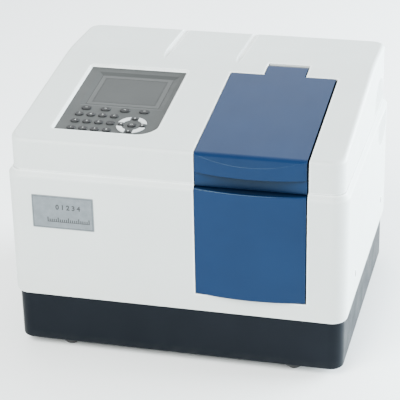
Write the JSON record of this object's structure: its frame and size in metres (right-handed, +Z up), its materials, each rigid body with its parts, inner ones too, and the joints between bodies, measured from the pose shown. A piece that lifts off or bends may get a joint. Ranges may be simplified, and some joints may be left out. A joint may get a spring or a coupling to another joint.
{
  "type": "spectrophotometer",
  "caption": "Bench spectrophotometer with a sloping top, keypad and display, a blue hinged lid over its sample compartment and a bowed front panel.",
  "frame": {"origin": "middle of the footprint, on the bench under the feet", "axes": "+X to the right of a person facing the front, +Y from the front to the back, +Z up"},
  "size_m": [0.48, 0.412, 0.3645],
  "materials": {
    "shell_white": "fine-textured off-white moulding, satin",
    "base_slate": "dark slate textured moulding",
    "lid_blue": "satin blue paint",
    "fascia_grey": "mid grey satin membrane plate",
    "key_grey": "dark grey moulded keys",
    "ring_silver": "bead-blasted trim",
    "display_glass": "clear acrylic window",
    "display_module": "neutral grey display panel on its board",
    "plate_foil": "satin foil plate",
    "foot_rubber": "black moulded rubber",
    "chamber_black": "matt black anodised",
    "seal_foam": "closed-cell foam",
    "steel": "ground steel",
    "screw_steel": "bright plated",
    "zinc_plate": "light grey powder coat",
    "motor_black": "black motor can",
    "bench_cast": "cast and milled aluminium",
    "mirror_glass": "first-surface mirror",
    "lamp_glass": "clear quartz envelope",
    "board_green": "solder-masked circuit board",
    "socket_black": "black moulded socket",
    "fan_black": "black fan moulding"
  },
  "bodies": {
    "instrument": {"rubber_feet": "foot_rubber", "base_tray": "base_slate", "lower_shell": "shell_white", "upper_cover": "shell_white", "nameplate": "plate_foil", "front_panel": "lid_blue", "hinge_bracket": "zinc_plate", "hinge_pin": "steel", "keypad_fascia": "fascia_grey", "display_window": "display_glass", "display_board": "display_module", "navigation_ring": "ring_silver", "sample_tub": "chamber_black", "compartment_seal": "seal_foam", "carriage_rails": "steel", "stepper_motors": "motor_black", "optical_bench": "bench_cast", "monochromator_case": "chamber_black", "concave_mirrors": "mirror_glass", "lamp_house": "zinc_plate", "halogen_lamp": "lamp_glass", "deuterium_lamp": "lamp_glass", "detector_unit": "chamber_black", "main_board": "board_green", "power_supply": "zinc_plate", "rear_panel": "zinc_plate", "case_screws": "screw_steel", "power_inlet": "socket_black", "switch_frame": "socket_black", "data_sockets": "zinc_plate", "fan_frame": "fan_black"},
    "compartment_lid": {"compartment_lid": "lid_blue"},
    "cell_carriage": {"cell_carriage": "chamber_black"},
    "carriage_screw": {"carriage_screw": "steel"},
    "grating": {"grating": "mirror_glass"},
    "filter_wheel": {"filter_wheel": "bench_cast"},
    "source_mirror": {"source_mirror": "mirror_glass"},
    "power_rocker": {"power_rocker": "socket_black"},
    "fan_rotor": {"fan_rotor": "fan_black"},
    "digit_key_7": {"digit_key_7": "key_grey"},
    "digit_key_8": {"digit_key_8": "key_grey"},
    "digit_key_9": {"digit_key_9": "key_grey"},
    "clear_key": {"clear_key": "key_grey"},
    "digit_key_4": {"digit_key_4": "key_grey"},
    "digit_key_5": {"digit_key_5": "key_grey"},
    "digit_key_6": {"digit_key_6": "key_grey"},
    "point_key": {"point_key": "key_grey"},
    "digit_key_1": {"digit_key_1": "key_grey"},
    "digit_key_2": {"digit_key_2": "key_grey"},
    "digit_key_3": {"digit_key_3": "key_grey"},
    "digit_key_0": {"digit_key_0": "key_grey"},
    "function_key_1": {"function_key_1": "key_grey"},
    "function_key_2": {"function_key_2": "key_grey"},
    "function_key_3": {"function_key_3": "key_grey"},
    "function_key_4": {"function_key_4": "key_grey"},
    "arrow_key_left": {"arrow_key_left": "key_grey"},
    "arrow_key_right": {"arrow_key_right": "key_grey"},
    "arrow_key_up": {"arrow_key_up": "key_grey"},
    "arrow_key_down": {"arrow_key_down": "key_grey"},
    "enter_key": {"enter_key": "key_grey"}
  },
  "joints": [
    {"name": "lid_hinge", "type": "hinge", "parent": "instrument", "child": "compartment_lid", "pos_m": [0.1074, 0.06, 0.35241], "axis": [-1, 0, 0], "range_deg": [0, 80]},
    {"name": "carriage_slide", "type": "slide", "parent": "instrument", "child": "cell_carriage", "axis": [0, -1, 0], "range_m": [0, 0.066]},
    {"name": "screw_spin", "type": "hinge", "parent": "instrument", "child": "carriage_screw", "pos_m": [0.1074, -0.0815, 0.138], "axis": [0, -1, 0], "range_deg": [-5, 1085]},
    {"name": "grating_turn", "type": "hinge", "parent": "instrument", "child": "grating", "pos_m": [-0.12, -0.0075, 0.14], "axis": [0, 0, 1], "range_deg": [-20, 25]},
    {"name": "filter_turn", "type": "hinge", "parent": "instrument", "child": "filter_wheel", "pos_m": [-0.012, -0.0815, 0.148], "axis": [1, 0, 0], "continuous": true},
    {"name": "source_turn", "type": "hinge", "parent": "instrument", "child": "source_mirror", "pos_m": [0.104, 0.1255, 0.15], "axis": [0, 0, 1], "range_deg": [-25, 25]},
    {"name": "rocker_tilt", "type": "hinge", "parent": "instrument", "child": "power_rocker", "pos_m": [0.108, 0.1985, 0.196], "axis": [0, 0, 1], "range_deg": [0, 14]},
    {"name": "fan_spin", "type": "hinge", "parent": "instrument", "child": "fan_rotor", "pos_m": [-0.095, 0.1875, 0.168], "axis": [0, 1, 0], "continuous": true},
    {"name": "digit_key_7_press", "type": "slide", "parent": "instrument", "child": "digit_key_7", "axis": [0, 0.1491, -0.9888], "range_m": [0, 0.0013], "stiffness_N_per_m": 450, "springref_m": -0.0004},
    {"name": "digit_key_8_press", "type": "slide", "parent": "instrument", "child": "digit_key_8", "axis": [0, 0.1491, -0.9888], "range_m": [0, 0.0013], "stiffness_N_per_m": 450, "springref_m": -0.0004},
    {"name": "digit_key_9_press", "type": "slide", "parent": "instrument", "child": "digit_key_9", "axis": [0, 0.1491, -0.9888], "range_m": [0, 0.0013], "stiffness_N_per_m": 450, "springref_m": -0.0004},
    {"name": "clear_key_press", "type": "slide", "parent": "instrument", "child": "clear_key", "axis": [0, 0.1491, -0.9888], "range_m": [0, 0.0013], "stiffness_N_per_m": 450, "springref_m": -0.0004},
    {"name": "digit_key_4_press", "type": "slide", "parent": "instrument", "child": "digit_key_4", "axis": [0, 0.1491, -0.9888], "range_m": [0, 0.0013], "stiffness_N_per_m": 450, "springref_m": -0.0004},
    {"name": "digit_key_5_press", "type": "slide", "parent": "instrument", "child": "digit_key_5", "axis": [0, 0.1491, -0.9888], "range_m": [0, 0.0013], "stiffness_N_per_m": 450, "springref_m": -0.0004},
    {"name": "digit_key_6_press", "type": "slide", "parent": "instrument", "child": "digit_key_6", "axis": [0, 0.1491, -0.9888], "range_m": [0, 0.0013], "stiffness_N_per_m": 450, "springref_m": -0.0004},
    {"name": "point_key_press", "type": "slide", "parent": "instrument", "child": "point_key", "axis": [0, 0.1491, -0.9888], "range_m": [0, 0.0013], "stiffness_N_per_m": 450, "springref_m": -0.0004},
    {"name": "digit_key_1_press", "type": "slide", "parent": "instrument", "child": "digit_key_1", "axis": [0, 0.1491, -0.9888], "range_m": [0, 0.0013], "stiffness_N_per_m": 450, "springref_m": -0.0004},
    {"name": "digit_key_2_press", "type": "slide", "parent": "instrument", "child": "digit_key_2", "axis": [0, 0.1491, -0.9888], "range_m": [0, 0.0013], "stiffness_N_per_m": 450, "springref_m": -0.0004},
    {"name": "digit_key_3_press", "type": "slide", "parent": "instrument", "child": "digit_key_3", "axis": [0, 0.1491, -0.9888], "range_m": [0, 0.0013], "stiffness_N_per_m": 450, "springref_m": -0.0004},
    {"name": "digit_key_0_press", "type": "slide", "parent": "instrument", "child": "digit_key_0", "axis": [0, 0.1491, -0.9888], "range_m": [0, 0.0013], "stiffness_N_per_m": 450, "springref_m": -0.0004},
    {"name": "function_key_1_press", "type": "slide", "parent": "instrument", "child": "function_key_1", "axis": [0, 0.1491, -0.9888], "range_m": [0, 0.0013], "stiffness_N_per_m": 450, "springref_m": -0.0004},
    {"name": "function_key_2_press", "type": "slide", "parent": "instrument", "child": "function_key_2", "axis": [0, 0.1491, -0.9888], "range_m": [0, 0.0013], "stiffness_N_per_m": 450, "springref_m": -0.0004},
    {"name": "function_key_3_press", "type": "slide", "parent": "instrument", "child": "function_key_3", "axis": [0, 0.1491, -0.9888], "range_m": [0, 0.0013], "stiffness_N_per_m": 450, "springref_m": -0.0004},
    {"name": "function_key_4_press", "type": "slide", "parent": "instrument", "child": "function_key_4", "axis": [0, 0.1491, -0.9888], "range_m": [0, 0.0013], "stiffness_N_per_m": 450, "springref_m": -0.0004},
    {"name": "arrow_key_left_press", "type": "slide", "parent": "instrument", "child": "arrow_key_left", "axis": [0, 0.1491, -0.9888], "range_m": [0, 0.0013], "stiffness_N_per_m": 450, "springref_m": -0.0004},
    {"name": "arrow_key_right_press", "type": "slide", "parent": "instrument", "child": "arrow_key_right", "axis": [0, 0.1491, -0.9888], "range_m": [0, 0.0013], "stiffness_N_per_m": 450, "springref_m": -0.0004},
    {"name": "arrow_key_up_press", "type": "slide", "parent": "instrument", "child": "arrow_key_up", "axis": [0, 0.1491, -0.9888], "range_m": [0, 0.0013], "stiffness_N_per_m": 450, "springref_m": -0.0004},
    {"name": "arrow_key_down_press", "type": "slide", "parent": "instrument", "child": "arrow_key_down", "axis": [0, 0.1491, -0.9888], "range_m": [0, 0.0013], "stiffness_N_per_m": 450, "springref_m": -0.0004},
    {"name": "enter_key_press", "type": "slide", "parent": "instrument", "child": "enter_key", "axis": [0, 0.1491, -0.9888], "range_m": [0, 0.0013], "stiffness_N_per_m": 450, "springref_m": -0.0004}
  ],
  "couplings": [
    {"joint": "screw_spin", "follows": "carriage_slide", "rad_per_m": 285.6}
  ]
}
